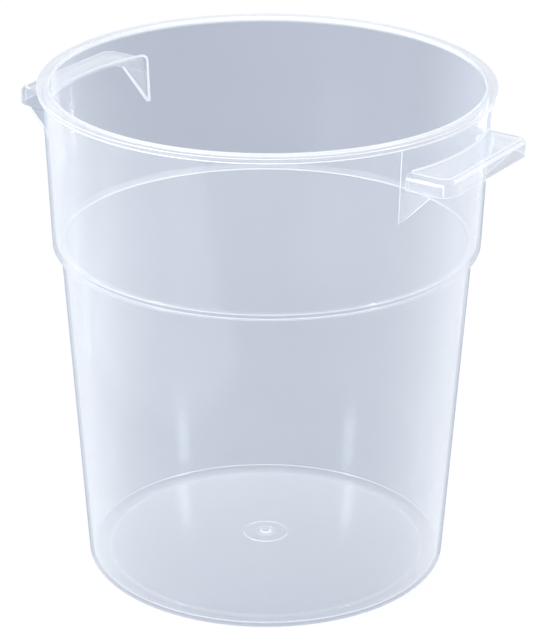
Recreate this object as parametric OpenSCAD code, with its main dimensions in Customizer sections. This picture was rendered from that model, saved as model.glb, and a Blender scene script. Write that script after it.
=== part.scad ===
// Round food storage container with two tray handles, moulded in clear polypropylene.
// Millimetres. The container stands on z = 0, its axis is Z, and the handles lie along X.
// Each module is one region of the moulding, and neighbours meet face to face.

/* [Container] */
// Overall height, from the foot ring to the top of the rim
height = 380; // [340:1:420]
// Outside diameter of the rim flange
rim_d = 336; // [320:1:352]
// Thickness of the walls, the heel and the foot ring
wall_t = 2.8; // [2.2:0.1:3.4]

/* [Rim] */
// Height of the flange that a lid snaps over
flange_h = 5; // [4:0.1:7]
// How far the flange stands out from the wall under it
flange_out = 3.8; // [3:0.1:6]
// Radius of the flange's outer edges
flange_edge_r = 1.2; // [0.6:0.1:1.6]
// Width of the bead that stands in over the mouth, inside the flange
bead_w = 2.6; // [2.2:0.1:3.4]
// Height of the bead's top above the flange
bead_h = 0.4; // [0.3:0.1:2]
// Radius of the bead's upper edge at the mouth
bead_edge_r = 0.4; // [0.2:0.1:0.6]

/* [Upper band] */
// Draft of the wall above the shoulder, in degrees
band_draft = 2.5; // [1:0.1:4]
// Height of the shoulder's underside
shoulder_z = 256; // [230:1:280]
// Width of the shoulder's step, from wall to wall
shoulder_w = 5.8; // [5:0.1:8]
// Radius of the shoulder's outer corner
shoulder_r = 1; // [0.6:0.1:3.5]
// Radius in the hollow corner under the shoulder
shoulder_fillet_r = 1; // [0.5:0.1:1.5]

/* [Lower wall] */
// Draft of the wall below the shoulder, in degrees
wall_draft = 3.85; // [2:0.05:5]

/* [Base] */
// Radius of the heel, from the foot ring to the wall
heel_r = 6.5; // [5:0.1:9]
// Width of the flat ring that the container stands on
foot_w = 9.2; // [6:0.1:14]
// Thickness of the floor panel
floor_t = 3; // [2.2:0.1:4]
// Height of the step from the foot ring up to the floor panel
floor_step = 0.9; // [0.4:0.1:1.5]
// Rise of the floor's dome, from its edge to its centre
dome_h = 8; // [4:0.5:12]
// Radius of the round gate boss in the middle of the floor
gate_r = 17.6; // [12:0.1:24]
// How far the gate boss stands above the floor panel
gate_rise = 0.6; // [0.3:0.1:1.2]
// Radius of the nub left by the sprue
nub_r = 3.4; // [2:0.1:5]
// Height of the nub above the gate boss
nub_h = 0.9; // [0.4:0.1:1.5]

/* [Handles] */
// Length of each handle, across its two end skirts
handle_len = 117; // [100:1:130]
// How far each handle stands out past the rim flange
handle_out = 20; // [16:0.5:26]
// Drop from the top of the rim to the top of the handle plates
handle_drop = 24; // [20:0.5:40]
// Height of the whole handle, from the plate's top to the skirt's lower edge
handle_h = 13; // [10:0.5:18]
// Thickness of the handle plate and its skirt
handle_t = 2.6; // [2:0.1:3.2]
// Radius of the plate's upper edges
handle_edge_r = 5; // [4:0.1:6]
// Radius of the outer corners, seen from above
handle_corner_r = 12; // [9:0.5:15]

/* [Gussets] */
// How far each gusset runs down the wall below the skirt
gusset_drop = 24.5; // [15:0.5:40]
// How far each gusset's free end stops short of the handle's rounded corner
gusset_back = 2; // [1:0.5:10]
// Thickness of the gussets at their free edges
gusset_t = 2.6; // [2:0.1:3.2]
// How far each gusset stands out past the end skirt, at the wall
gusset_proud = 3.8; // [1:0.1:5]
// How far each gusset reaches in under the end skirt that it carries
gusset_seat = 0.6; // [0.4:0.1:2]

/* [Hidden] */
clear_poly = [0.85, 0.88, 0.93, 0.7];
$fn = 180;
// Overrun of every cutting shape past the solid it cuts
over = 1;
// How far the heel and the shoulder run on, above and below, before the plain walls take over
run_up = 4;
run_down = 3;

rim_r = rim_d / 2;
flange_top = height - bead_h;
flange_z = flange_top - flange_h;
band_top_r = rim_r - flange_out;
// Outer radius of the upper band at height z, and of its inner face
function band_r(z) = band_top_r - (flange_z - z) * tan(band_draft);
function band_in_r(z) = band_r(z) - wall_t;
wall_top_r = band_r(shoulder_z) - shoulder_w;
// Outer radius of the lower wall at height z, and of its inner face
function low_r(z) = wall_top_r - (shoulder_z - z) * tan(wall_draft);
function low_in_r(z) = low_r(z) - wall_t / cos(wall_draft);

// The heel's arc touches the ground plane and the drafted wall
heel_c = low_r(0) - heel_r * (1 - sin(wall_draft)) / cos(wall_draft);
heel_top = heel_r + run_up;
foot_in_r = heel_c - foot_w;
shoulder_low = shoulder_z - run_down;
ledge_top = shoulder_z + wall_t;
shoulder_top = ledge_top + run_up;

// The dome's upper face is a sphere through the panel's edge and its crown
dome_edge_z = wall_t + floor_step;
dome_r = (foot_in_r * foot_in_r + dome_h * dome_h) / (2 * dome_h);
crown_z = dome_edge_z + dome_h;
dome_c = crown_z - dome_r;
function dome_z(r) = dome_c + sqrt(dome_r * dome_r - r * r);
boss_top = crown_z + gate_rise;
boss_low = dome_z(gate_r) - floor_t;

handle_x = rim_r + handle_out;
handle_top = height - handle_drop;
handle_low = handle_top - handle_h;
plate_low = handle_top - handle_edge_r;
half_len = handle_len / 2;
// Centre of the rounded outer corner, seen from above
corner_x = handle_x - handle_corner_r;
corner_y = half_len - handle_corner_r;
gusset_y = half_len + gusset_proud;
gusset_in_y = half_len - gusset_seat;
gusset_x = corner_x - gusset_back;
gusset_tip = handle_low - gusset_drop;
// Height of the blunt nose at each gusset's lower tip
gusset_nose = 1;
// How far the shoulder's fillet reaches into the wall that carries it
fillet_root = 0.2;
gusset_root = sqrt(pow(band_r(gusset_tip), 2) - pow(gusset_y, 2));

// A turned ring, from points given as [radius, height]
module ring(points) {
    rotate_extrude() polygon(points);
}

// Everything inside the outer face of the upper band. What stands on the band starts at the axis,
// and this trims it.
module band_core() {
    z0 = shoulder_z;
    z1 = height + over;
    translate([0, 0, z0]) cylinder(h = z1 - z0, r1 = band_r(z0), r2 = band_r(z1));
}

module gate_mark() {
    color(clear_poly) {
        translate([0, 0, boss_low]) cylinder(h = boss_top - boss_low, r = gate_r);
        translate([0, 0, boss_top]) cylinder(h = nub_h, r = nub_r);
    }
}

// Section of the domed panel, between the gate boss and the foot ring
module floor_section() {
    intersection() {
        translate([gate_r, 0]) square([foot_in_r - gate_r, crown_z + over]);
        difference() {
            translate([0, dome_c]) circle(r = dome_r, $fn = 720);
            translate([0, dome_c - floor_t]) circle(r = dome_r, $fn = 720);
        }
    }
}

module floor_panel() {
    color(clear_poly) rotate_extrude() floor_section();
}

module foot_ring() {
    color(clear_poly) ring([[foot_in_r, 0], [heel_c, 0], [heel_c, wall_t], [foot_in_r, wall_t]]);
}

// Section of everything inside the heel's face that lies inset from the outside of the moulding
module heel_side(inset) {
    r = heel_r - inset;
    nx = cos(wall_draft);
    nz = -sin(wall_draft);
    top_r = low_r(heel_top + over) - inset / cos(wall_draft);
    translate([heel_c, heel_r]) circle(r = r);
    polygon([[heel_c, heel_r], [heel_c + r * nx, heel_r + r * nz], [top_r, heel_top + over],
             [heel_c, heel_top + over]]);
}

module heel() {
    color(clear_poly) rotate_extrude() intersection() {
        translate([heel_c, 0]) square([rim_r - heel_c, heel_top]);
        difference() {
            heel_side(0);
            heel_side(wall_t);
        }
    }
}

module lower_wall() {
    color(clear_poly) ring([
        [low_in_r(heel_top), heel_top], [low_r(heel_top), heel_top],
        [low_r(shoulder_low), shoulder_low], [low_in_r(shoulder_low), shoulder_low]
    ]);
}

// Section of the step, from the lower wall out to the upper band
module shoulder_section() {
    r = shoulder_r;
    out_r = band_r(shoulder_z);
    difference() {
        union() {
            polygon([
                [low_in_r(shoulder_low), shoulder_low], [low_r(shoulder_low), shoulder_low],
                [wall_top_r, shoulder_z], [out_r, shoulder_z],
                [band_r(shoulder_top), shoulder_top], [band_in_r(shoulder_top), shoulder_top],
                [band_in_r(ledge_top), ledge_top], [low_in_r(ledge_top), ledge_top]
            ]);
            // fillet in the hollow corner under the step
            translate([wall_top_r, shoulder_z - shoulder_fillet_r]) difference() {
                translate([-fillet_root, 0]) square([fillet_root + shoulder_fillet_r, shoulder_fillet_r]);
                translate([shoulder_fillet_r, 0]) circle(r = shoulder_fillet_r);
            }
        }
        // rounding of the outer corner
        translate([out_r - r, shoulder_z]) difference() {
            translate([0, -over]) square([r + over, r + over]);
            translate([0, r]) circle(r = r);
        }
    }
}

module shoulder() {
    color(clear_poly) rotate_extrude() shoulder_section();
}

module upper_wall() {
    color(clear_poly) ring([
        [band_in_r(shoulder_top), shoulder_top], [band_r(shoulder_top), shoulder_top],
        [band_top_r, flange_z], [band_in_r(flange_z), flange_z]
    ]);
}

module rim_flange() {
    e = flange_edge_r;
    color(clear_poly) rotate_extrude() union() {
        polygon([
            [band_in_r(flange_z), flange_z], [rim_r - e, flange_z],
            [rim_r - e, flange_top], [band_in_r(flange_top), flange_top]
        ]);
        translate([rim_r - 2 * e, flange_z + e]) square([2 * e, flange_h - 2 * e]);
        for (z = [flange_z + e, flange_top - e]) translate([rim_r - e, z]) circle(r = e);
    }
}

// The bead's underside slopes at 45 degrees, from the wall's inner face to the mouth
module lid_bead() {
    in_r = band_in_r(flange_top);
    mouth_r = in_r - bead_w;
    slope_top = flange_z + band_in_r(flange_z) - mouth_r;
    r = bead_edge_r;
    color(clear_poly) rotate_extrude() union() {
        polygon([
            [band_in_r(flange_z), flange_z], [in_r, flange_top], [in_r, height], [mouth_r + r, height],
            [mouth_r + r, height - r], [mouth_r, height - r], [mouth_r, slope_top]
        ]);
        translate([mouth_r + r, height - r]) circle(r = r);
    }
}

// Plan of the handle, pulled in by inset, with its outer corners rounded
module handle_plan(inset) {
    r = handle_corner_r - inset;
    translate([0, -half_len + inset]) square([corner_x, 2 * (half_len - inset)]);
    translate([0, -corner_y]) square([handle_x - inset, 2 * corner_y]);
    for (s = [-1, 1]) translate([corner_x, s * corner_y]) circle(r = r);
}

// Section of the plate's rounded edge: u runs outward from the corner's centre, v is the height.
// The inset is the distance in from the outside of the moulding.
module edge_section(inset) {
    r = handle_edge_r - inset;
    reach = handle_corner_r - handle_edge_r;
    square([reach, r]);
    intersection() {
        translate([reach, 0]) circle(r = r);
        square([reach + r, r]);
    }
}

// The plate as a solid block with rounded upper edges, or its hollow when inset
module plate_block(inset) {
    h = handle_edge_r - inset;
    translate([0, 0, plate_low]) {
        translate([0, -corner_y, 0]) cube([corner_x, 2 * corner_y, h]);
        // outer long side
        translate([corner_x, corner_y, 0]) rotate([90, 0, 0])
            linear_extrude(2 * corner_y) edge_section(inset);
        for (s = [-1, 1]) {
            // end sides
            translate([0, s * corner_y, 0]) mirror([0, s < 0 ? 1 : 0, 0])
                rotate([90, 0, 90]) linear_extrude(corner_x) edge_section(inset);
            // rounded corners
            translate([corner_x, s * corner_y, 0])
                rotate_extrude(angle = s * 90) edge_section(inset);
        }
    }
}

module handle_plate() {
    difference() {
        plate_block(0);
        plate_block(handle_t);
        translate([0, 0, plate_low - over]) linear_extrude(over) handle_plan(handle_t);
        band_core();
    }
}

module handle_skirt() {
    difference() {
        translate([0, 0, handle_low]) linear_extrude(plate_low - handle_low) difference() {
            handle_plan(0);
            handle_plan(handle_t);
        }
        band_core();
    }
}

// Outer face of a gusset at the distance x from the axis: it is thickest at the wall
function gusset_out_y(x) = gusset_y
    - (x - gusset_root) * (gusset_y - gusset_in_y - gusset_t) / (gusset_x - gusset_root);

// Side view of a gusset, as [x, z]
module gusset_side() {
    polygon([
        [0, gusset_tip], [gusset_root + gusset_nose, gusset_tip], [gusset_x, handle_low],
        [0, handle_low]
    ]);
}

// Plan of a gusset
module gusset_plan() {
    end_x = gusset_x + over;
    polygon([
        [0, gusset_in_y], [end_x, gusset_in_y], [end_x, gusset_out_y(end_x)], [0, gusset_out_y(0)]
    ]);
}

// One gusset, on the side given by s
module gusset(s) {
    mirror([0, s < 0 ? 1 : 0, 0]) difference() {
        intersection() {
            translate([0, gusset_out_y(0) + over, 0]) rotate([90, 0, 0])
                linear_extrude(gusset_out_y(0) - gusset_in_y + 2 * over) gusset_side();
            translate([0, 0, gusset_tip - over])
                linear_extrude(handle_low - gusset_tip + 2 * over) gusset_plan();
        }
        band_core();
    }
}

module handle_plate_right() {
    color(clear_poly) handle_plate();
}

module handle_plate_left() {
    color(clear_poly) rotate([0, 0, 180]) handle_plate();
}

module handle_skirt_right() {
    color(clear_poly) handle_skirt();
}

module handle_skirt_left() {
    color(clear_poly) rotate([0, 0, 180]) handle_skirt();
}

module gusset_right_front() {
    color(clear_poly) gusset(-1);
}

module gusset_right_back() {
    color(clear_poly) gusset(1);
}

module gusset_left_front() {
    color(clear_poly) rotate([0, 0, 180]) gusset(1);
}

module gusset_left_back() {
    color(clear_poly) rotate([0, 0, 180]) gusset(-1);
}

gate_mark();
floor_panel();
foot_ring();
heel();
lower_wall();
shoulder();
upper_wall();
rim_flange();
lid_bead();
handle_plate_right();
handle_plate_left();
handle_skirt_right();
handle_skirt_left();
gusset_right_front();
gusset_right_back();
gusset_left_front();
gusset_left_back();
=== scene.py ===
"""Looks of a round food container, moulded in one shot in clear polypropylene.

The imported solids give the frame. Every region of the moulding is made again here as a smooth mesh
with its fillets and turned lines, on the same boundaries, and takes the place of its solid. Regions
meet on faces that lie inside the plastic, and those faces are left clear, so that the container
reads as the single moulding that it is. Sizes are millimetres until a mesh is made.
"""

import logging
import math
from dataclasses import dataclass, field, replace
from enum import Enum

import bmesh
import bpy
from mathutils import Matrix, Vector


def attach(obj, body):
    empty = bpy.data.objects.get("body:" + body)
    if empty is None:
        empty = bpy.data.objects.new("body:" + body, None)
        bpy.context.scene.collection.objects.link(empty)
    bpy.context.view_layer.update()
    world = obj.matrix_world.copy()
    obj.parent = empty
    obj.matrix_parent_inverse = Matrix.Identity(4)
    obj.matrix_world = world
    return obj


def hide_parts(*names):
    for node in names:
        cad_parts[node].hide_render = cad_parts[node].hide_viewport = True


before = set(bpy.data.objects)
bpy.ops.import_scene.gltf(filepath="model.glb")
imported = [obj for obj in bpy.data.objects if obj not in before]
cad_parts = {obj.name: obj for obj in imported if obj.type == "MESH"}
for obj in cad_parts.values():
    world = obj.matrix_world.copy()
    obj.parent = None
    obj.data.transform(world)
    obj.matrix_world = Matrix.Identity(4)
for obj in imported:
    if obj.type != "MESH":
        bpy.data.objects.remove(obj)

LOG = logging.getLogger("container")
MM = 0.001
BODY = "root"
TURN_STEPS = 192
SMOOTH_ANGLE = math.radians(35)

Point = tuple[float, float]
Corner = tuple[float, float, float]
Colour = tuple[float, float, float]


class Face(Enum):
    """What a face of the moulding borders on, or the painted light that it carries."""

    SKIN = 0
    JOINT = 1
    # Carries a painted highlight.
    EDGE = 2
    # Carries a painted glow.
    ROOT = 3
    LINER = 4
    # Carries a faint painted highlight.
    CREASE = 5


class Side(Enum):
    """The side of the container that a handle stands on, as the sign of X."""

    RIGHT = 1
    LEFT = -1


def arc(centre: Point, radius: float, start: float, end: float, steps: int = 6) -> list[Point]:
    """Points along a circular arc.

    Args:
        centre: Centre of the arc.
        radius: Its radius.
        start: First angle in degrees, from the section's outward direction.
        end: Last angle in degrees.
        steps: Number of chords.

    Returns:
        The points, first and last included.
    """
    angles = [math.radians(start + (end - start) * i / steps) for i in range(steps + 1)]
    return [(centre[0] + radius * math.cos(a), centre[1] + radius * math.sin(a)) for a in angles]


class Nodes:
    """A material's node tree, with short ways to add and wire its nodes."""

    def __init__(self, name: str) -> None:
        """Starts an empty material.

        Args:
            name: The material's name.
        """
        self.material = bpy.data.materials.new(name)
        self.material.use_nodes = True
        self.tree = self.material.node_tree
        self.tree.nodes.clear()

    def add(self, kind: str, **values: object) -> bpy.types.Node:
        """Adds a node and sets its properties and sockets.

        Args:
            kind: The node's type name.
            values: Properties by name, and socket values by name with underscores for spaces.

        Returns:
            The new node.
        """
        node = self.tree.nodes.new(kind)
        for key, value in values.items():
            if hasattr(node, key):
                setattr(node, key, value)
            else:
                node.inputs[key.replace("_", " ")].default_value = value
        return node

    def wire(self, source: bpy.types.NodeSocket, target: bpy.types.NodeSocket) -> None:
        """Links one socket to another."""
        self.tree.links.new(source, target)

    def math(self, operation: str, *terms: object) -> bpy.types.NodeSocket:
        """Adds a Math node.

        Args:
            operation: The node's operation.
            terms: Its inputs, each a socket or a number.

        Returns:
            The result's socket.
        """
        node = self.add("ShaderNodeMath", operation=operation)
        for place, term in enumerate(terms):
            if isinstance(term, (int, float)):
                node.inputs[place].default_value = term
            else:
                self.wire(term, node.inputs[place])
        return node.outputs[0]

    def mix(self, factor: object, first: bpy.types.Node, second: bpy.types.Node) -> bpy.types.Node:
        """Adds a Mix Shader node.

        Args:
            factor: Share of the second shader, a socket or a number.
            first: The first shader's node.
            second: The second shader's node.

        Returns:
            The new node.
        """
        node = self.add("ShaderNodeMixShader")
        if isinstance(factor, (int, float)):
            node.inputs[0].default_value = factor
        else:
            self.wire(factor, node.inputs[0])
        self.wire(first.outputs[0], node.inputs[1])
        self.wire(second.outputs[0], node.inputs[2])
        return node

    def finish(self, shader: bpy.types.Node) -> bpy.types.Material:
        """Wires the last shader to the surface.

        Args:
            shader: The node to show.

        Returns:
            The finished material.
        """
        self.wire(shader.outputs[0], self.add("ShaderNodeOutputMaterial").inputs["Surface"])
        return self.material


@dataclass(frozen=True)
class ClearPolymer:
    """Natural polypropylene: clear plastic with a little milk in it.

    Each face lets tinted light through, and its haze sends some back. The haze thickens towards
    grazing views, where the light's way through the plastic is longer, and so does the gloss.
    Slow clouds and upright flow streaks from the moulding vary it.
    """

    name: str
    haze: float
    edge_haze: float
    tint: Colour = (0.98, 0.985, 0.99)
    edge_tint: Colour = (0.62, 0.69, 0.80)
    edge_band: tuple[float, float] = (0.78, 0.97)
    edge_gloss_loss: float = 0.7
    forward: float = 0.5
    scatter_low: Colour = (0.86, 0.895, 0.95)
    scatter_high: Colour = (0.92, 0.945, 0.985)
    edge_power: float = 2.2
    gloss_roughness: float = 0.14
    gloss_colour: Colour = (0.93, 0.955, 1.0)
    gloss_front: float = 0.05
    gloss_edge: float = 1.0
    gloss_power: float = 2.5
    cloud_scale: float = 7.0
    cloud_amount: float = 0.05
    streak_amount: float = 0.02
    ripple: float = 0.00035

    def lining(self) -> "ClearPolymer":
        """The same finish on a face that looks into the container, which has no dark outline."""
        return replace(self, name=f"{self.name}_lining", edge_tint=self.tint, edge_gloss_loss=0.0,
                       gloss_edge=1.0, gloss_power=2.3)

    def variation(self, nodes: Nodes) -> bpy.types.NodeSocket:
        """Clouds and flow streaks, as a number around zero.

        Args:
            nodes: The material's tree.

        Returns:
            The socket that carries it.
        """
        place = nodes.add("ShaderNodeTexCoord").outputs["Object"]
        clouds = nodes.add("ShaderNodeTexNoise", Scale=self.cloud_scale, Detail=3.0, Roughness=0.5)
        nodes.wire(place, clouds.inputs["Vector"])
        stretch = nodes.add("ShaderNodeMapping", Scale=(16.0, 16.0, 1.2))
        nodes.wire(place, stretch.inputs["Vector"])
        streaks = nodes.add("ShaderNodeTexNoise", Scale=1.0, Detail=2.0, Roughness=0.45)
        nodes.wire(stretch.outputs[0], streaks.inputs["Vector"])
        cloud = nodes.math("MULTIPLY", nodes.math("SUBTRACT", clouds.outputs[0], 0.5), self.cloud_amount)
        streak = nodes.math("SUBTRACT", streaks.outputs[0], 0.5)
        streak = nodes.math("MULTIPLY", streak, self.streak_amount)
        return nodes.math("ADD", cloud, streak)

    def material(self) -> bpy.types.Material:
        """Builds the node material.

        Returns:
            The new material.
        """
        nodes = Nodes(self.name)
        place = nodes.add("ShaderNodeTexCoord").outputs["Object"]
        varied = self.variation(nodes)
        facing = nodes.add("ShaderNodeLayerWeight", Blend=0.5).outputs["Facing"]
        rise = nodes.math("POWER", facing, self.edge_power)
        rise = nodes.math("MULTIPLY", rise, self.edge_haze - self.haze)
        haze = nodes.math("ADD", nodes.math("ADD", rise, self.haze), varied)

        peel = nodes.add("ShaderNodeTexNoise", Scale=160.0, Detail=2.0)
        nodes.wire(place, peel.inputs["Vector"])
        bump = nodes.add("ShaderNodeBump", Strength=0.35, Distance=self.ripple)
        nodes.wire(peel.outputs[0], bump.inputs["Height"])

        shade = nodes.add("ShaderNodeValToRGB")
        shade.color_ramp.elements[0].color = (*self.scatter_low, 1.0)
        shade.color_ramp.elements[1].color = (*self.scatter_high, 1.0)
        nodes.wire(nodes.math("ADD", nodes.math("MULTIPLY", varied, 4.0), 0.5), shade.inputs[0])
        back = nodes.add("ShaderNodeBsdfDiffuse", Roughness=0.2)
        onward = nodes.add("ShaderNodeBsdfTranslucent")
        nodes.wire(shade.outputs["Color"], back.inputs["Color"])
        nodes.wire(shade.outputs["Color"], onward.inputs["Color"])
        outline = nodes.add("ShaderNodeMapRange", interpolation_type="SMOOTHSTEP",
                            From_Min=self.edge_band[0],
                            From_Max=self.edge_band[1])
        nodes.wire(facing, outline.inputs["Value"])
        tint = nodes.add("ShaderNodeMix", data_type="RGBA")
        nodes.wire(outline.outputs[0], tint.inputs[0])
        tint.inputs[6].default_value = (*self.tint, 1.0)
        tint.inputs[7].default_value = (*self.edge_tint, 1.0)
        clear = nodes.add("ShaderNodeBsdfTransparent")
        nodes.wire(tint.outputs[2], clear.inputs["Color"])
        milk = nodes.mix(nodes.math("MINIMUM", haze, 1.0), clear, nodes.mix(self.forward, back, onward))

        gloss = nodes.add("ShaderNodeBsdfGlossy", Color=(*self.gloss_colour, 1.0),
                          Roughness=self.gloss_roughness)
        nodes.wire(bump.outputs[0], gloss.inputs["Normal"])
        sheen = nodes.math("MULTIPLY", nodes.math("POWER", facing, self.gloss_power), self.gloss_edge)
        fall = nodes.math("SUBTRACT", 1.0, nodes.math("MULTIPLY", outline.outputs[0], self.edge_gloss_loss))
        front = nodes.math("MINIMUM", nodes.math("ADD", sheen, self.gloss_front), 0.92)
        share = nodes.math("MULTIPLY", front, fall)
        return nodes.finish(nodes.mix(share, milk, gloss))


@dataclass(frozen=True)
class InsideFace:
    """A face between two regions of the moulding: plastic on both sides, so nothing shows."""

    name: str = "inside_of_moulding"

    def material(self) -> bpy.types.Material:
        """Builds the clear material."""
        nodes = Nodes(self.name)
        return nodes.finish(nodes.add("ShaderNodeBsdfTransparent"))


WALL = ClearPolymer("clear_wall", haze=0.055, edge_haze=0.16, gloss_edge=0.8, gloss_power=4.0)
BASE = ClearPolymer("clear_base", haze=0.055, edge_haze=0.15, gloss_edge=0.65)
RIM = ClearPolymer("clear_rim", haze=0.14, edge_haze=0.19, gloss_front=0.16)
GRIP = ClearPolymer("clear_grip", haze=0.07, edge_haze=0.17, gloss_front=0.075, gloss_power=2.35)
# Painted shade: a clearer, less glossy copy of the grip that makes the left handle read darker.
SHADED_GRIP = ClearPolymer("clear_grip_painted_shade", haze=0.055, edge_haze=0.13, gloss_edge=0.6)
WEB = ClearPolymer("clear_web", haze=0.045, edge_haze=0.15)
# Painted highlight: a near-white milky finish put on chosen edge faces so that they show as bright lines.
PAINTED_HIGHLIGHT = ClearPolymer("painted_highlight_edges", haze=0.86, edge_haze=0.90, scatter_low=(0.96, 0.97, 0.99),
                       scatter_high=(0.97, 0.98, 1.0), gloss_front=0.28, gloss_roughness=0.25,
                       cloud_amount=0.02, streak_amount=0.01)
# Painted glow: a near-white milky finish that makes the roots shine as if lit from behind.
PAINTED_GLOW = ClearPolymer("painted_glow_roots", haze=0.94, edge_haze=0.96, scatter_low=(0.96, 0.97, 0.99),
                     scatter_high=(0.97, 0.98, 1.0), gloss_front=0.30, cloud_amount=0.01, streak_amount=0.005)
# Faint painted highlight: a slightly milkier finish that makes chosen creases and hollows show as soft light lines.
PAINTED_FAINT_HIGHLIGHT = ClearPolymer("faint_painted_highlights", haze=0.19, edge_haze=0.235, scatter_low=(0.93, 0.95, 0.98),
                     scatter_high=(0.95, 0.97, 1.0), gloss_front=0.10, cloud_amount=0.01, streak_amount=0.005)
INSIDE = InsideFace()


class Mould:
    """Keeps one material for each finish, and turns point lists into dressed pieces."""

    def __init__(self) -> None:
        """Starts with no material made."""
        self.made: dict[str, bpy.types.Material] = {}

    def material(self, finish: ClearPolymer | InsideFace) -> bpy.types.Material:
        """The finish's material, made the first time that it is asked for."""
        if finish.name not in self.made:
            self.made[finish.name] = finish.material()
        return self.made[finish.name]

    def piece(self, name: str, corners: list[Corner], faces: list[tuple[int, ...]], kinds: list[Face],
              finish: ClearPolymer, stands_for: list[str]) -> bpy.types.Object:
        """Makes a mesh object that rides on the container and stands for its solids.

        Args:
            name: The piece's name.
            corners: Vertex positions in millimetres.
            faces: Vertex indices of each face.
            kinds: What each face borders on.
            finish: The finish of its skin.
            stands_for: The solids that it replaces.

        Returns:
            The new object.
        """
        mesh = bpy.data.meshes.new(name)
        mesh.from_pydata([Vector(c) * MM for c in corners], [], faces)
        outward = bmesh.new()
        outward.from_mesh(mesh)
        bmesh.ops.recalc_face_normals(outward, faces=outward.faces)
        outward.to_mesh(mesh)
        outward.free()
        for polygon, kind in zip(mesh.polygons, kinds):
            polygon.material_index = kind.value
            polygon.use_smooth = True
        mesh.materials.append(self.material(finish))
        mesh.materials.append(self.material(INSIDE))
        # The third, fourth and sixth materials paint highlights, a glow and faint highlights onto faces of those
        # kinds.
        mesh.materials.append(self.material(PAINTED_HIGHLIGHT))
        mesh.materials.append(self.material(PAINTED_GLOW))
        mesh.materials.append(self.material(finish.lining()))
        mesh.materials.append(self.material(PAINTED_FAINT_HIGHLIGHT))
        mesh.set_sharp_from_angle(angle=SMOOTH_ANGLE)
        mesh.validate()
        mesh.update()
        piece = bpy.data.objects.new(name, mesh)
        bpy.context.scene.collection.objects.link(piece)
        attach(piece, BODY)
        if stands_for:
            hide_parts(*stands_for)
        LOG.info("%s: %d faces, stands for %s", name, len(faces), ", ".join(stands_for) or "no solid")
        return piece


@dataclass
class Run:
    """A stretch of a turned section, walked with the plastic on its left."""

    points: list[Point]
    kind: Face = Face.SKIN


def turned(mould: Mould, name: str, runs: list[Run], finish: ClearPolymer,
           stands_for: list[str]) -> bpy.types.Object:
    """Turns a closed section about the container's axis.

    Args:
        mould: Maker of pieces.
        name: The piece's name.
        runs: The section's stretches in order, each starting where the last one ended.
        finish: The finish of its skin.
        stands_for: The solids that it replaces.

    Returns:
        The new object.
    """
    section: list[Point] = []
    kinds: list[Face] = []
    for run in runs:
        for point in run.points[:-1]:
            section.append(point)
            kinds.append(run.kind)
    if math.dist(runs[-1].points[-1], section[0]) > 0.001:
        section.append(runs[-1].points[-1])
        kinds.append(Face.JOINT)

    corners: list[Corner] = []
    rows: list[list[int]] = []
    for radius, height in section:
        if radius < 0.001:
            rows.append([len(corners)] * TURN_STEPS)
            corners.append((0.0, 0.0, height))
            continue
        rows.append([len(corners) + i for i in range(TURN_STEPS)])
        for i in range(TURN_STEPS):
            angle = math.tau * i / TURN_STEPS
            corners.append((radius * math.cos(angle), radius * math.sin(angle), height))

    faces: list[tuple[int, ...]] = []
    face_kinds: list[Face] = []
    for place, kind in enumerate(kinds):
        low, high = rows[place], rows[(place + 1) % len(rows)]
        for i in range(TURN_STEPS):
            j = (i + 1) % TURN_STEPS
            ring = dict.fromkeys((low[i], low[j], high[j], high[i]))
            if len(ring) > 2:
                faces.append(tuple(ring))
                face_kinds.append(kind)
    return mould.piece(name, corners, faces, face_kinds, finish, stands_for)


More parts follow.
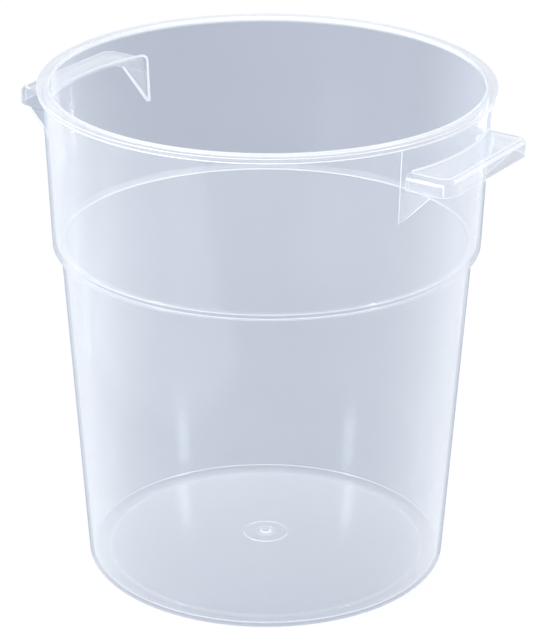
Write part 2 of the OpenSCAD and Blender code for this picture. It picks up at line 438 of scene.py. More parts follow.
@dataclass
class Vessel:
    """The turned part of the container, from the foot ring to the lid bead."""

    height: float = 380
    rim_radius: float = 168
    wall: float = 2.8
    flange_height: float = 5
    flange_out: float = 3.8
    flange_rounding: float = 1.2
    flange_fillet: float = 0.8
    # Chords at each flange edge that carry a painted highlight.
    flange_lit_steps: int = 2
    bead_width: float = 2.6
    bead_height: float = 0.4
    bead_rounding: float = 0.4
    band_draft: float = 2.5
    shoulder_height: float = 256
    shoulder_width: float = 5.8
    shoulder_rounding: float = 1
    shoulder_fillet: float = 1
    ledge_fillet: float = 1.2
    ledge_rounding: float = 1.0
    wall_draft: float = 3.85
    heel_rounding: float = 6.5
    foot_width: float = 9.2
    foot_rounding: float = 0.5
    step_fillet: float = 0.9
    floor_thickness: float = 3
    floor_step: float = 0.9
    dome_height: float = 8
    gate_radius: float = 17.6
    gate_rise: float = 0.6
    gate_margin: float = 0.5
    gate_halo: float = 7.2
    nub_radius: float = 3.4
    nub_height: float = 0.9
    joint_above_heel: float = 4
    joint_beside_shoulder: Point = (3, 4)

    def band(self, z: float) -> float:
        """Outer radius of the upper band at height z."""
        return self.rim_radius - self.flange_out - (self.flange_low - z) * math.tan(math.radians(self.band_draft))

    def band_inside(self, z: float) -> float:
        """Inner radius of the upper band at height z."""
        return self.band(z) - self.wall

    def low(self, z: float) -> float:
        """Outer radius of the lower wall at height z."""
        top = self.band(self.shoulder_height) - self.shoulder_width
        return top - (self.shoulder_height - z) * math.tan(math.radians(self.wall_draft))

    def low_inside(self, z: float) -> float:
        """Inner radius of the lower wall at height z."""
        return self.low(z) - self.wall / math.cos(math.radians(self.wall_draft))

    def dome(self, radius: float) -> float:
        """Height of the floor's upper face at a radius."""
        return self.dome_centre + math.sqrt(self.dome_radius ** 2 - radius ** 2)

    def dome_below(self, radius: float) -> float:
        """Height of the floor's lower face at a radius."""
        return self.dome_centre - self.floor_thickness + math.sqrt(self.dome_radius ** 2 - radius ** 2)

    def __post_init__(self) -> None:
        """Works out the places that follow from the sizes."""
        self.flange_top = self.height - self.bead_height
        self.flange_low = self.flange_top - self.flange_height
        draft = math.radians(self.wall_draft)
        self.heel_centre = self.low(0) - self.heel_rounding * (1 - math.sin(draft)) / math.cos(draft)
        self.heel_top = self.heel_rounding + self.joint_above_heel
        self.foot_inside = self.heel_centre - self.foot_width
        self.shoulder_low = self.shoulder_height - self.joint_beside_shoulder[0]
        self.ledge = self.shoulder_height + self.wall
        self.shoulder_top = self.ledge + self.joint_beside_shoulder[1]
        self.dome_edge = self.wall + self.floor_step
        self.dome_radius = (self.foot_inside ** 2 + self.dome_height ** 2) / (2 * self.dome_height)
        self.dome_centre = self.dome_edge + self.dome_height - self.dome_radius

    def build(self, mould: Mould) -> None:
        """Builds and dresses every turned region, from the middle of the floor up to the rim.

        Args:
            mould: Maker of pieces.
        """
        for make in (self.gate_mark, self.floor_panel, self.foot_ring, self.heel, self.lower_wall,
                     self.shoulder, self.upper_wall, self.rim_flange, self.lid_bead):
            name, runs, finish = make()
            turned(mould, f"moulded_{name}", runs, finish, [name])

    def gate_mark(self) -> tuple[str, list[Run], ClearPolymer]:
        """Round boss with the sprue's nub, and softened rims."""
        top = self.dome_edge + self.dome_height + self.gate_rise
        soft = self.gate_rise / 2
        nub_top = top + self.nub_height
        nub_soft = self.nub_height / 2
        low = self.dome(self.gate_radius) - self.floor_thickness
        boss = self.gate_radius - self.gate_margin
        rim = [(self.gate_radius, self.dome(self.gate_radius)), (boss, self.dome(self.gate_radius))]
        ring = [rim[-1], (boss, top - soft)] + arc((boss - soft, top - soft), soft, 0, 90, 4)[1:]
        halo = [(self.gate_halo + u, top + v) for u, v in ((0.2, 0), (0.1, 0.25), (-0.1, 0.25), (-0.2, 0))]
        nub = [(self.nub_radius + 1.4, top), (self.nub_radius + 0.6, top)]
        nub += arc((self.nub_radius - nub_soft, nub_top - nub_soft), nub_soft, 0, 90, 5)
        dimple = [nub[-1], (self.nub_radius * 0.3, nub_top - 0.15), (0, nub_top - 0.3)]
        return "gate_mark", [
            Run(rim),
            # The boss's rim, the halo bead and the nub carry a painted highlight.
            Run(ring, Face.EDGE),
            Run([ring[-1], halo[0]]),
            Run(halo, Face.EDGE),
            Run([halo[-1], nub[0]]),
            Run(nub, Face.EDGE),
            Run(dimple),
            Run([dimple[-1], (0, low)], Face.JOINT),
            Run([(0, low), (self.gate_radius, low)]),
            Run([(self.gate_radius, low), rim[0]], Face.JOINT),
        ], BASE

    def floor_panel(self) -> tuple[str, list[Run], ClearPolymer]:
        """Domed panel between the gate boss and the foot ring."""
        steps, soft = 14, 0.6
        span = self.foot_inside - self.gate_radius
        radii = [self.gate_radius + span * i / steps for i in range(steps + 1)]
        brim = [(self.foot_inside, self.wall + self.step_fillet / 3), (self.foot_inside, self.dome_edge - soft),
                (self.foot_inside - soft / 3, self.dome_edge - soft / 3),
                (self.foot_inside - 3 * soft, self.dome(self.foot_inside - 3 * soft))]
        upper = [brim[-1]] + [(r, self.dome(r)) for r in reversed(radii[:-1])]
        lower = [(r, self.dome_below(r)) for r in radii]
        return "floor_panel", [
            # The brim carries a faint painted highlight.
            Run(brim, Face.CREASE),
            Run(upper),
            Run([upper[-1], lower[0]], Face.JOINT),
            Run(lower),
            Run([lower[-1], brim[0]], Face.JOINT),
        ], BASE

    def foot_ring(self) -> tuple[str, list[Run], ClearPolymer]:
        """Flat ring that the container stands on."""
        r = self.foot_rounding
        inner, outer = self.foot_inside, self.heel_centre
        under = [(inner, self.dome_below(inner)), (inner, r)]
        under += arc((inner + r, r), r, 180, 270, 4)[1:] + [(outer, 0)]
        return "foot_ring", [
            Run(under),
            Run([(outer, 0), (outer, self.wall)], Face.JOINT),
            Run([(outer, self.wall), (inner + self.step_fillet, self.wall)]),
            # The step's fillet carries a faint painted highlight.
            Run([(inner + self.step_fillet, self.wall), (inner, self.wall + self.step_fillet / 3)], Face.CREASE),
            Run([(inner, self.wall + self.step_fillet / 3), (inner, self.dome_below(inner))], Face.JOINT),
        ], BASE

    def heel(self) -> tuple[str, list[Run], ClearPolymer]:
        """Rounded corner from the foot ring to the wall."""
        centre = (self.heel_centre, self.heel_rounding)
        outer = arc(centre, self.heel_rounding, -90, -self.wall_draft, 14)
        inner = arc(centre, self.heel_rounding - self.wall, -90, -self.wall_draft, 12)
        outer_top = (self.low(self.heel_top), self.heel_top)
        inner_top = (self.low_inside(self.heel_top), self.heel_top)
        bend = 3
        return "heel", [
            Run([*outer, outer_top]),
            Run([outer_top, inner_top], Face.JOINT),
            Run([inner_top] + inner[::-1][:bend], Face.LINER),
            # One chord of the inner fillet carries a painted highlight.
            Run(inner[::-1][bend - 1:bend + 1], Face.EDGE),
            Run(inner[::-1][bend:], Face.LINER),
            Run([inner[0], outer[0]], Face.JOINT),
        ], BASE

    def between(self, name: str, outer: list[Point], inner: list[Point],
                finish: ClearPolymer) -> tuple[str, list[Run], ClearPolymer]:
        """A region of wall with an outer skin, an inner skin and a joint at each end.

        Args:
            name: The region's name.
            outer: The outer skin, from its lower end.
            inner: The inner skin, from its lower end.
            finish: The finish of both.

        Returns:
            The region's name, its section and its finish.
        """
        return name, [
            Run(outer),
            Run([outer[-1], inner[-1]], Face.JOINT),
            Run(inner[::-1], Face.LINER),
            Run([inner[0], outer[0]], Face.JOINT),
        ], finish

    def lower_wall(self) -> tuple[str, list[Run], ClearPolymer]:
        """Tapered wall below the shoulder."""
        steps = 8
        heights = [self.heel_top + (self.shoulder_low - self.heel_top) * i / steps for i in range(steps + 1)]
        return self.between("lower_wall", [(self.low(z), z) for z in heights],
                            [(self.low_inside(z), z) for z in heights], WALL)

    def shoulder(self) -> tuple[str, list[Run], ClearPolymer]:
        """The step that carries a nested container, with its fillets."""
        z = self.shoulder_height
        f, r = self.shoulder_fillet, self.shoulder_rounding
        wall, out = self.low(z), self.band(z)
        hollow = arc((wall + f, z - f), f, 180 - self.wall_draft, 90, 5)
        corner = arc((out - r, z + r), r, -90, -self.band_draft, 8)
        top = (self.band(self.shoulder_top), self.shoulder_top)
        g, s = self.ledge_fillet, self.ledge_rounding
        side, foot = self.band_inside(self.ledge), self.low_inside(self.ledge)
        ledge_edge = arc((foot - s, self.ledge - s), s, 0, 90, 5)
        ledge_hollow = arc((side - g, self.ledge + g), g, -90, -self.band_draft, 5)
        low = (self.low_inside(self.shoulder_low), self.shoulder_low)
        inner_top = (self.band_inside(self.shoulder_top), self.shoulder_top)
        return "shoulder", [
            Run([(self.low(self.shoulder_low), self.shoulder_low), hollow[0]]),
            # The hollow carries a painted highlight; the outer corner and the ledge's hollow carry a faint painted
            # highlight.
            Run(hollow, Face.EDGE),
            Run([hollow[-1], corner[0]]),
            Run(corner, Face.CREASE),
            Run([corner[-1], top]),
            Run([top, inner_top], Face.JOINT),
            Run([inner_top, ledge_hollow[-1]], Face.LINER),
            Run(ledge_hollow[::-1], Face.CREASE),
            Run([ledge_hollow[0], *ledge_edge, low], Face.LINER),
            Run([low, (self.low(self.shoulder_low), self.shoulder_low)], Face.JOINT),
        ], WALL

    def upper_wall(self) -> tuple[str, list[Run], ClearPolymer]:
        """Wide band between the shoulder and the rim."""
        steps = 5
        span = self.flange_low - self.shoulder_top
        heights = [self.shoulder_top + span * i / steps for i in range(steps + 1)]
        return self.between("upper_wall", [(self.band(z), z) for z in heights],
                            [(self.band_inside(z), z) for z in heights], WALL)

    def rim_flange(self) -> tuple[str, list[Run], ClearPolymer]:
        """Outward flange with rounded edges, whose chords that look sideways carry a painted highlight."""
        r, lit = self.flange_rounding, self.flange_lit_steps
        low, top, rim = self.flange_low, self.flange_top, self.rim_radius
        wall = self.band(low)
        low_edge = arc((rim - r, low + r), r, -90, 0, 6)
        top_edge = arc((rim - r, top - r), r, 0, 90, 6)
        seat = [(self.band_inside(top), top), (self.band_inside(low), low)]
        return "rim_flange", [
            Run([(wall, low), *low_edge[:-lit]]),
            Run(low_edge[-lit - 1:], Face.EDGE),
            Run([low_edge[-1], top_edge[0]]),
            Run(top_edge[:lit + 1], Face.EDGE),
            Run([*top_edge[lit:], seat[0]]),
            Run([*seat, (wall, low)], Face.JOINT),
        ], RIM

    def lid_bead(self) -> tuple[str, list[Run], ClearPolymer]:
        """Bead that stands in over the mouth, with a painted highlight on its inner face and a sloping underside."""
        low, top, r = self.flange_low, self.flange_top, self.bead_rounding
        mouth = self.band_inside(top) - self.bead_width
        slope_top = low + self.band_inside(low) - mouth
        inner_edge = arc((mouth + r, self.height - r), r, 90, 180, 4)
        return "lid_bead", [
            Run([(self.band_inside(low), low), (self.band_inside(top), top)], Face.JOINT),
            Run([(self.band_inside(top), top), (self.band_inside(top), self.height), inner_edge[0]]),
            Run([*inner_edge, (mouth, slope_top)], Face.EDGE),
            Run([(mouth, slope_top), (self.band_inside(low), low)], Face.LINER),
        ], RIM


@dataclass
class Handle:
    """An inverted tray under the rim: a plate, a skirt round three sides, and two gussets."""

    vessel: Vessel
    side: Side
    length: float = 117
    stands_out: float = 20
    drop: float = 24
    depth: float = 13
    thickness: float = 2.6
    edge_rounding: float = 5
    corner_rounding: float = 12
    lip_rounding: float = 0.7
    lip_line: float = 0.7
    wall_fillet: float = 1.4
    foot_line: float = 0.5
    straight_steps: int = 4
    bend_steps: int = 20
    root_gap: float = 0.06
    gusset_drop: float = 24.5
    gusset_back: float = 2
    gusset_thickness: float = 2.6
    gusset_proud: float = 3.8
    gusset_seat: float = 0.6
    gusset_nose: float = 1
    gusset_soft: float = 0.5
    gusset_line: float = 2.0
    root_width: float = 2.0
    line_bearing: float = 22.5
    line_width: float = 0.7
    line_height: float = 0.3

    def __post_init__(self) -> None:
        """Works out the places that follow from the sizes."""
        self.reach = self.vessel.rim_radius + self.stands_out
        self.top = self.vessel.height - self.drop
        self.bottom = self.top - self.depth
        self.plate_low = self.top - self.edge_rounding
        self.corner_x = self.reach - self.corner_rounding
        self.corner_y = self.length / 2 - self.corner_rounding
        self.suffix = self.side.name.lower()
        self.gusset_tip = self.bottom - self.gusset_drop
        self.gusset_end = self.corner_x - self.gusset_back
        self.gusset_root = self.wall_x(self.length / 2 + self.gusset_proud, self.gusset_tip)

    def wall_x(self, y: float, z: float, out: float = 0) -> float:
        """Distance from the axis, along X, of the wall's outer face, moved out by a length."""
        return math.sqrt((self.vessel.band(z) + self.root_gap + out) ** 2 - y ** 2)

    def outline(self, inset: float, z: float, out: float = 0) -> list[Corner]:
        """Plan of the tray at one height, from wall to wall.

        Args:
            inset: Distance in from the outside of the moulding.
            z: Height.
            out: Distance from the wall at which both ends stop.

        Returns:
            The points, always as many.
        """
        half, r = self.length / 2 - inset, self.corner_rounding - inset
        start = self.wall_x(half, z, out)
        sides, bend = self.straight_steps, self.bend_steps
        along = [0.0, self.foot_line / (self.corner_x - start), 0.35, 0.7, 1.0]
        plan = [(start + (self.corner_x - start) * t, -half) for t in along[:sides]]
        plan += arc((self.corner_x, -self.corner_y), r, -90, 0, bend)
        plan += [(self.reach - inset, -self.corner_y + 2 * self.corner_y * i / 8) for i in range(1, 8)]
        plan += arc((self.corner_x, self.corner_y), r, 0, 90, bend)
        plan += [(start + (self.corner_x - start) * t, half) for t in reversed(along[:sides])]
        return [(x, y, z) for x, y in plan]

    def kind(self, row: int, column: int, last: int) -> Face:
        """The kind of a face of the tray's skin: painted highlights on the creases, the lip, the roots and bands of
        the broad roundings.

        Args:
            row: The face's row, from the top of the plate to its underside.
            column: The face's column, from one end at the wall to the other.
            last: The last column.

        Returns:
            The face's kind.
        """
        # Painted highlights go on the lip, the top crease rows, the wall ends, one corner chord and bands across the
        # roundings, placed where lamps would shine on the right handle; the left handle keeps fewer, some of them
        # faint.
        left, column = self.side is Side.LEFT, min(column, last - column)
        bend = column - self.straight_steps
        if 10 <= row <= 12:
            return Face.EDGE if not left else Face.SKIN if bend < 0 else Face.CREASE
        if row < 2 or column == 0:
            return Face.SKIN if left and column < self.straight_steps else Face.EDGE
        if row == 8:
            return Face.EDGE if bend == 6 and not left else Face.SKIN
        if row in ((6, 7) if bend < 7 else (3, 4, 5) if bend > 15 else ()):
            return Face.SKIN if left else Face.EDGE
        return Face.SKIN

    def place(self, corners: list[Corner]) -> list[Corner]:
        """Turns points about the axis to the handle's own side."""
        return [(self.side.value * x, self.side.value * y, z) for x, y, z in corners]

    def rows(self) -> list[list[Corner]]:
        """The tray's skin as outlines, from the top of the plate, round the lip, to its underside."""
        e, t, lip = self.edge_rounding, self.thickness, self.lip_rounding
        made = [self.outline(e, self.top)]
        for u, z in arc((0, self.plate_low), e, 90, 0, 8)[1:]:
            made.append(self.outline(e - u, z))
        made.append(self.outline(0, self.bottom + lip + self.lip_line))
        for u, z in arc((-lip, self.bottom + lip), lip, 0, -90, 4):
            made.append(self.outline(-u, z))
        for u, z in arc((-t + lip, self.bottom + lip), lip, -90, -180, 4):
            made.append(self.outline(-u, z))
        for u, z in arc((0, self.plate_low), e - t, 0, 90, 5):
            made.append(self.outline(e - u, z))
        return made

    def tray(self, mould: Mould) -> None:
        """Builds the plate and its skirt as one smooth skin, closed against the wall.

        Args:
            mould: Maker of pieces.
        """
        rows = self.rows()
        width = len(rows[0])
        corners = [c for row in rows for c in row]
        faces: list[tuple[int, ...]] = []
        kinds: list[Face] = []
        for k in range(len(rows) - 1):
            for i in range(width - 1):
                a = k * width + i
                faces.append((a, a + width, a + width + 1, a + 1))
                kinds.append(self.kind(k, i, width - 2))
        plate_half = self.length / 2 - self.edge_rounding
        under = self.top - self.thickness
        steps = 24
        upper = self.wall_row(self.top, plate_half, steps, corners)
        lower = self.wall_row(under, plate_half, steps, corners)
        last = (len(rows) - 1) * width
        faces.append((*range(width), *upper))
        faces.append((*reversed(lower), *range(last + width - 1, last - 1, -1)))
        kinds += [Face.SKIN, Face.SKIN]
        start_column = [k * width for k in range(len(rows))]
        end_column = [k * width + width - 1 for k in range(len(rows))]
        faces += [tuple(reversed(start_column)), tuple(end_column)]
        kinds += [Face.SKIN, Face.SKIN]
        root_top = [width - 1, *upper, 0]
        root_low = [last + width - 1, *lower, last]
        for i in range(steps):
            faces.append((root_top[i], root_top[i + 1], root_low[i + 1], root_low[i]))
            kinds.append(Face.SKIN)
        # The left handle takes the grip's copy with painted shade.
        finish = SHADED_GRIP if self.side is Side.LEFT else GRIP
        mould.piece(f"handle_tray_{self.suffix}", self.place(corners), faces, kinds, finish,
                    [f"handle_plate_{self.suffix}", f"handle_skirt_{self.suffix}"])

    def wall_row(self, z: float, half: float, steps: int, corners: list[Corner]) -> list[int]:
        """Adds points along the wall at one height, between a plate's two ends.

        Args:
            z: Height.
            half: Half the plate's length at that height.
            steps: Number of chords from end to end.
            corners: The list that the points are added to.

        Returns:
            Their indices, from the plate's far end to its near end, both ends left out.
        """
        first = len(corners)
        for i in range(1, steps):
            y = half - 2 * half * i / steps
            corners.append((self.wall_x(y, z), y, z))
        return list(range(first, first + steps - 1))

    def along_wall(self, y: float, z: float) -> tuple[Vector, Vector]:
        """A point on the wall, and the wall's outward direction there."""
        point = Vector((self.wall_x(y, z), y, z))
        return point, Vector((point.x, point.y, 0)).normalized()

    def swept(self, mould: Mould, name: str, frames: list[tuple[Vector, Vector, Vector]],
              section: list[Point], lit: int) -> None:
        """Builds a thin strip that lies on the wall, whose showing faces carry a painted highlight.

        Args:
            mould: Maker of pieces.
            name: The piece's name.
            frames: Points along the strip, each with its outward and its sideways direction.
            section: Closed section, as distances outward and sideways.
            lit: Number of the section's faces, from its first point, that show with a painted highlight; the rest stay
                clear.
        """
        width = len(section)
        corners = [tuple(point + out * u + side * v) for point, out, side in frames for u, v in section]
        faces: list[tuple[int, ...]] = [tuple(range(width)),
                                        tuple(reversed(range(len(corners) - width, len(corners))))]
        kinds = [Face.EDGE, Face.EDGE]
        for k in range(len(frames) - 1):
            for i in range(width):
                j = (i + 1) % width
                a, b = k * width, (k + 1) * width
                faces.append((a + i, b + i, b + j, a + j))
                kinds.append(Face.EDGE if i < lit else Face.JOINT)
        mould.piece(name, self.place(corners), faces, kinds, GRIP, [])

    def fillet(self, mould: Mould) -> None:
        """Builds the hollow fillet between the top of the plate and the wall, as a painted highlight.

        Args:
            mould: Maker of pieces.
        """
        half = self.length / 2 - self.edge_rounding
        steps, f, sunk = 32, self.wall_fillet, 0.2
        section = [(f - f * math.sin(math.radians(a)), f - f * math.cos(math.radians(a)))
                   for a in range(0, 91, 18)]
        section += [(-sunk, f), (-sunk, -sunk), (f, -sunk)]
        frames = []
        for i in range(steps + 1):
            point, out = self.along_wall(-half + 2 * half * i / steps, self.top)
            frames.append((point, out, Vector((0, 0, 1))))
        self.swept(mould, f"plate_fillet_{self.suffix}", frames, section, 5)

    def wall_line(self, mould: Mould, end: int) -> None:
        """Builds the fine upright line that the mould's split left on the wall, over a gusset, with a painted
        highlight on it.

        Args:
            mould: Maker of pieces.
            end: Sign of Y, for the right handle.
        """
        low, high = self.gusset_tip, self.vessel.flange_low
        half, sunk, steps, turn = self.line_width / 2, 0.2, 8, math.radians(self.line_bearing)
        section = [(self.line_height * math.sin(math.radians(a)), half * math.cos(math.radians(a)))
                   for a in range(180, -1, -30)]
        section += [(-sunk, half), (-sunk, -half)]
        frames = []
        for i in range(steps + 1):
            z = low + (high - low) * i / steps
            point, out = self.along_wall(end * self.vessel.band(z) * math.sin(turn), z)
            frames.append((point, out, Vector((-out.y, out.x, 0))))
        place = "back" if end * self.side.value > 0 else "front"
        self.swept(mould, f"split_line_{self.suffix}_{place}", frames, section, 6)

    def root_line(self, mould: Mould) -> None:
        """Builds the root that runs up the wall from a gusset, along under the plate and down again, with a painted
        highlight on it.

        Args:
            mould: Maker of pieces.
        """
        half, sunk, r = self.root_width / 2, 0.2, self.edge_rounding
        section = [(self.line_height * math.sin(math.radians(a)), half * math.cos(math.radians(a)))
                   for a in range(180, -1, -30)]
        section += [(-sunk, half), (-sunk, -half)]
        across = self.length / 2 + self.gusset_proud - half
        rise = [(across, self.bottom)] + arc((across - r, self.top - r), r, 0, 90, 8)
        span = 2 * (across - r)
        path = rise + [(across - r - span * i / 30, self.top) for i in range(1, 30)] + [(-y, z) for y, z in rise[::-1]]
        frames = []
        for i, (y, z) in enumerate(path):
            before, after = path[max(i - 1, 0)], path[min(i + 1, len(path) - 1)]
            point, out = self.along_wall(y, z)
            ahead = self.along_wall(*after)[0] - self.along_wall(*before)[0]
            frames.append((point, out, out.cross(ahead).normalized()))
        self.swept(mould, f"root_line_{self.suffix}", frames, section, 6)

    def gusset_side(self, x: float) -> float:
        """Distance from the handle's middle of a gusset's outer face, which is thickest at the wall."""
        inner = self.length / 2 - self.gusset_seat + self.gusset_thickness
        root = self.length / 2 + self.gusset_proud
        return root + (inner - root) * (x - self.gusset_root) / (self.gusset_end - self.gusset_root)

    def gusset(self, mould: Mould, end: int) -> None:
        """Builds one triangular web under an end of the skirt.

        Args:
            mould: Maker of pieces.
            end: Sign of Y, for the right handle.
        """
        tip, steps, soft = self.gusset_tip, 6, self.gusset_soft
        inner_y = self.length / 2 - self.gusset_seat
        nose_x = self.gusset_root + self.gusset_nose
        slope = Vector((self.gusset_end - nose_x, self.bottom - tip)).normalized()
        corners: list[Corner] = []
        rows: list[list[int]] = []
        line = self.gusset_line
        for outer, inset, back in ((False, 0, soft), (False, soft, 0), (True, -line, 0), (True, -soft, 0),
                                   (True, 0, soft)):
            loop = []
            for i in range(steps, -1, -1):
                z = tip + (self.bottom - tip) * i / steps
                y = (self.gusset_side(self.gusset_root) if outer else inner_y) + inset
                loop.append((self.wall_x(y, z), y, z))
            for x, z in ((nose_x - back * slope.y, tip + back * slope.x), (self.gusset_end - back, self.bottom)):
                inset = max(inset, -self.gusset_soft - 0.4)
                loop.append((x, (self.gusset_side(x) if outer else inner_y) + inset, z))
            rows.append(list(range(len(corners), len(corners) + len(loop))))
            corners += [(x, end * y, z) for x, y, z in loop]
        faces: list[tuple[int, ...]] = [tuple(rows[0]), tuple(reversed(rows[-1]))]
        kinds = [Face.SKIN, Face.SKIN]
        width = len(rows[0])
        left = self.side is Side.LEFT
        # Painted light: on the left handle the faces along the wall on the outer side carry a painted glow; the free
        # edge carries a painted highlight, on the right handle on all but one strip.
        for strip, (low, high) in enumerate(zip(rows, rows[1:])):
            for i in range(width):
                j = (i + 1) % width
                faces.append((low[i], high[i], high[j], low[j]))
                if i == width - 1:
                    kinds.append(Face.JOINT)
                elif i < steps:
                    kinds.append(Face.ROOT if left and strip > 1 else Face.SKIN)
                else:
                    kinds.append(Face.EDGE if left or strip != 1 else Face.SKIN)
        if end < 0:
            faces = [tuple(reversed(f)) for f in faces]
        place = "back" if end * self.side.value > 0 else "front"
        name = f"gusset_{self.suffix}_{place}"
        mould.piece(f"moulded_{name}", self.place(corners), faces, kinds, WEB, [name])

    def build(self, mould: Mould) -> None:
        """Builds the whole handle.

        Args:
            mould: Maker of pieces.
        """
        self.tray(mould)
        for end in (-1, 1):
            self.gusset(mould, end)
            if self.side is Side.RIGHT:
                self.wall_line(mould, end)
        if self.side is Side.RIGHT:
            self.fillet(mould)
        else:
            self.root_line(mould)


@dataclass
class SoftLamp:
    """A rectangular lamp that looks at a point on the container."""

    name: str
    place: Corner
    target: Corner
    size: Point
    power: float
    colour: Colour = (1.0, 1.0, 1.0)
    mirrored: bool = False

    def build(self) -> None:
        """Adds the lamp to the scene."""
        light = bpy.data.lights.new(self.name, "AREA")
        light.shape = "RECTANGLE"
        light.size, light.size_y = self.size
        light.energy = self.power
        light.color = self.colour
        lamp = bpy.data.objects.new(self.name, light)
        lamp.location = self.place
        lamp.visible_glossy = self.mirrored
        lamp.rotation_mode = "QUATERNION"
        lamp.rotation_quaternion = (Vector(self.target) - Vector(self.place)).to_track_quat("-Z", "Y")
        bpy.context.scene.collection.objects.link(lamp)


@dataclass
class FloorGlow:
    """A strip of light that lies on the floor and points up, unseen but mirrored in the walls."""

    name: str
    bearing: float
    near: float
    far: float
    width: float
    radiance: float

    def build(self) -> None:
        """Adds the strip, on its bearing from the front round to the left, in degrees."""
        light = bpy.data.lights.new(self.name, "AREA")
        light.shape = "RECTANGLE"
        light.size, light.size_y = self.width, self.far - self.near
        light.energy = math.pi * self.radiance * light.size * light.size_y
        turn, middle = math.radians(self.bearing), (self.near + self.far) / 2
        lamp = bpy.data.objects.new(self.name, light)
        lamp.location = (-math.sin(turn) * middle, -math.cos(turn) * middle, 0.002)
        lamp.rotation_euler = (math.pi, 0, -turn)
        lamp.visible_camera = False
        bpy.context.scene.collection.objects.link(lamp)


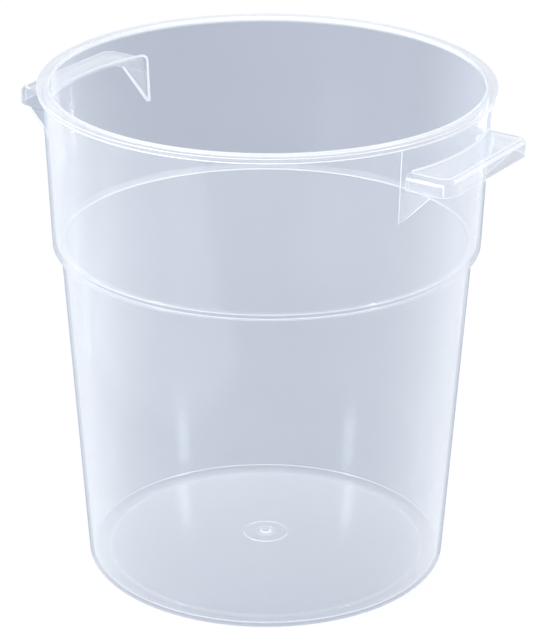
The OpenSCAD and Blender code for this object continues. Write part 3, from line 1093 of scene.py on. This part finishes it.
@dataclass
class Studio:
    """White floor, white surroundings with painted shade where they show through the plastic, and plain soft lamps, in
    metres.
    """

    floor_size: float = 30.0
    floor_colour: Colour = (0.9, 0.9, 0.9)
    floor_white: float = 0.97
    # Painted shade: the blue-grey that the floor and the world show through the plastic.
    painted_shade_behind_plastic: Colour = (0.362, 0.405, 0.510)
    ambient: float = 0.85
    lamps: list[SoftLamp] = field(default_factory=lambda: [
        SoftLamp("left_lamp", (-1.0, -1.96, 0.40), (0, 0, 0.2), (1.3, 1.5), 43.0, (0.93, 0.97, 1.0)),
        SoftLamp("left_gleam", (-0.93, -1.82, 0.93), (0, 0, 0.0), (0.22, 0.8), 4.5, mirrored=True),
        SoftLamp("right_gleam", (2.04, 0.12, 0.93), (0, 0, 0.0), (0.22, 0.8), 4.5, mirrored=True),
        SoftLamp("front_lamp", (1.25, -1.9, 0.15), (0, 0, 0.2), (1.4, 0.9), 8.0),
        SoftLamp("back_lamp", (-1.3, 2.0, 0.9), (0, 0, 0.2), (1.5, 1.2), 30.0),
        SoftLamp("top_lamp", (0, 0, 4.5), (0, 0, 0.2), (0.9, 0.9), 60.0),
    ])
    glows: list[FloorGlow] = field(default_factory=lambda: [
        FloorGlow("left_card", 36.0, 0.40, 1.60, 0.60, 0.20),
        FloorGlow("left_core_card", 40.0, 0.40, 1.60, 0.36, 0.20),
        FloorGlow("left_strip", 80.5, 0.45, 0.85, 0.012, 0.9),
        FloorGlow("back_strip", 181.5, 0.45, 0.85, 0.012, 0.9),
        FloorGlow("mouth_strip", 190.1, 0.90, 1.13, 0.03, 5.0),
        FloorGlow("mouth_card", 167.4, 0.85, 1.35, 0.30, 1.2),
        FloorGlow("front_card", 16.0, 0.40, 1.30, 0.62, 0.45),
    ])

    @staticmethod
    def seen(nodes: Nodes) -> bpy.types.NodeSocket:
        """One where a view, a mirror or glass looks at the surroundings, and zero for light itself."""
        path = nodes.add("ShaderNodeLightPath")
        mirror = nodes.math("MAXIMUM", path.outputs["Is Glossy Ray"], path.outputs["Is Transmission Ray"])
        return nodes.math("MAXIMUM", path.outputs["Is Camera Ray"], mirror)

    def backdrop(self, nodes: Nodes) -> bpy.types.NodeSocket:
        """The backdrop's colour: white by itself, and a blue-grey painted shade where plastic is before it, which
        darkens the container's inside.
        """
        path = nodes.add("ShaderNodeLightPath")
        # Painted shade where a view has passed through plastic.
        behind = nodes.math("GREATER_THAN", path.outputs["Transparent Depth"], 0.5)
        colour = nodes.add("ShaderNodeMix", data_type="RGBA")
        nodes.wire(nodes.math("MULTIPLY", behind, path.outputs["Is Camera Ray"]), colour.inputs[0])
        colour.inputs[6].default_value = (1.0, 1.0, 1.0, 1.0)
        colour.inputs[7].default_value = (*self.painted_shade_behind_plastic, 1.0)
        return colour.outputs[2]

    def floor(self) -> None:
        """Builds the floor, which shows white, with painted shade where it is seen through the plastic, and keeps the
        container's shadow.
        """
        half = self.floor_size / 2
        mesh = bpy.data.meshes.new("studio_floor")
        corners = [(-half, -half, 0), (half, -half, 0), (half, half, 0), (-half, half, 0)]
        mesh.from_pydata(corners, [], [(0, 1, 2, 3)])
        nodes = Nodes("studio_white")
        matt = nodes.add("ShaderNodeBsdfDiffuse", Color=(*self.floor_colour, 1.0))
        glow = nodes.add("ShaderNodeEmission", Strength=1.0)
        nodes.wire(self.backdrop(nodes), glow.inputs["Color"])
        share = nodes.math("MULTIPLY", self.seen(nodes), self.floor_white)
        mesh.materials.append(nodes.finish(nodes.mix(share, matt, glow)))
        floor = bpy.data.objects.new("studio_floor", mesh)
        floor.location.z = -0.0004
        bpy.context.scene.collection.objects.link(floor)

    def surroundings(self) -> None:
        """Makes the world white to look at, with painted shade where it is seen through the plastic, and plain as a
        light.
        """
        world = bpy.data.worlds.new("studio_world")
        world.use_nodes = True
        bpy.context.scene.world = world
        nodes = Nodes.__new__(Nodes)
        nodes.tree = world.node_tree
        nodes.tree.nodes.clear()
        light = nodes.add("ShaderNodeBackground", Color=(0.97, 0.98, 1.0, 1.0), Strength=self.ambient)
        white = nodes.add("ShaderNodeBackground", Strength=1.0)
        nodes.wire(self.backdrop(nodes), white.inputs["Color"])
        mixed = nodes.mix(self.seen(nodes), light, white)
        nodes.wire(mixed.outputs[0], nodes.add("ShaderNodeOutputWorld").inputs["Surface"])

    def build(self) -> None:
        """Builds the floor, the world and the lamps."""
        self.floor()
        self.surroundings()
        for lamp in (*self.lamps, *self.glows):
            lamp.build()


@dataclass
class PhotoCamera:
    """The camera that took the photograph, found from the container's own circles."""

    azimuth: float = 33.2
    distance: float = 2016.0
    height: float = 1041.3
    pitch: float = 22.89
    roll: float = 0.214
    focal_pixels: float = 2904.4
    photo_height: float = 640.0
    sensor: float = 36.0

    def build(self) -> None:
        """Adds the camera and makes it the scene's own."""
        a, p = math.radians(self.azimuth), math.radians(self.pitch)
        ahead = Vector((-math.sin(a) * math.cos(p), math.cos(a) * math.cos(p), -math.sin(p)))
        right = Vector((math.cos(a), math.sin(a), 0))
        up = right.cross(ahead)
        r = math.radians(self.roll)
        right, up = right * math.cos(r) + up * math.sin(r), up * math.cos(r) - right * math.sin(r)
        data = bpy.data.cameras.new("photo_camera")
        data.sensor_width = self.sensor
        data.lens = self.focal_pixels / self.photo_height * self.sensor
        camera = bpy.data.objects.new("photo_camera", data)
        axes = Matrix((right, up, -ahead)).transposed()
        camera.matrix_world = Matrix.Translation(Vector(
            (math.sin(a) * self.distance, -math.cos(a) * self.distance, self.height)) * MM) @ axes.to_4x4()
        bpy.context.scene.collection.objects.link(camera)
        bpy.context.scene.camera = camera


def main() -> None:
    """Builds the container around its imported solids, and the studio around the container."""
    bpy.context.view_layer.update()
    scene = bpy.context.scene
    scene.view_settings.view_transform = "Standard"
    scene.cycles.transparent_max_bounces = 32
    mould = Mould()
    vessel = Vessel()
    vessel.build(mould)
    for side in Side:
        Handle(vessel, side).build(mould)
    Studio().build()
    PhotoCamera().build()
    LOG.info("container of %d solids dressed", len(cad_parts))


if __name__ == "__main__":
    logging.basicConfig(level=logging.INFO, format="%(name)s: %(message)s")
    main()
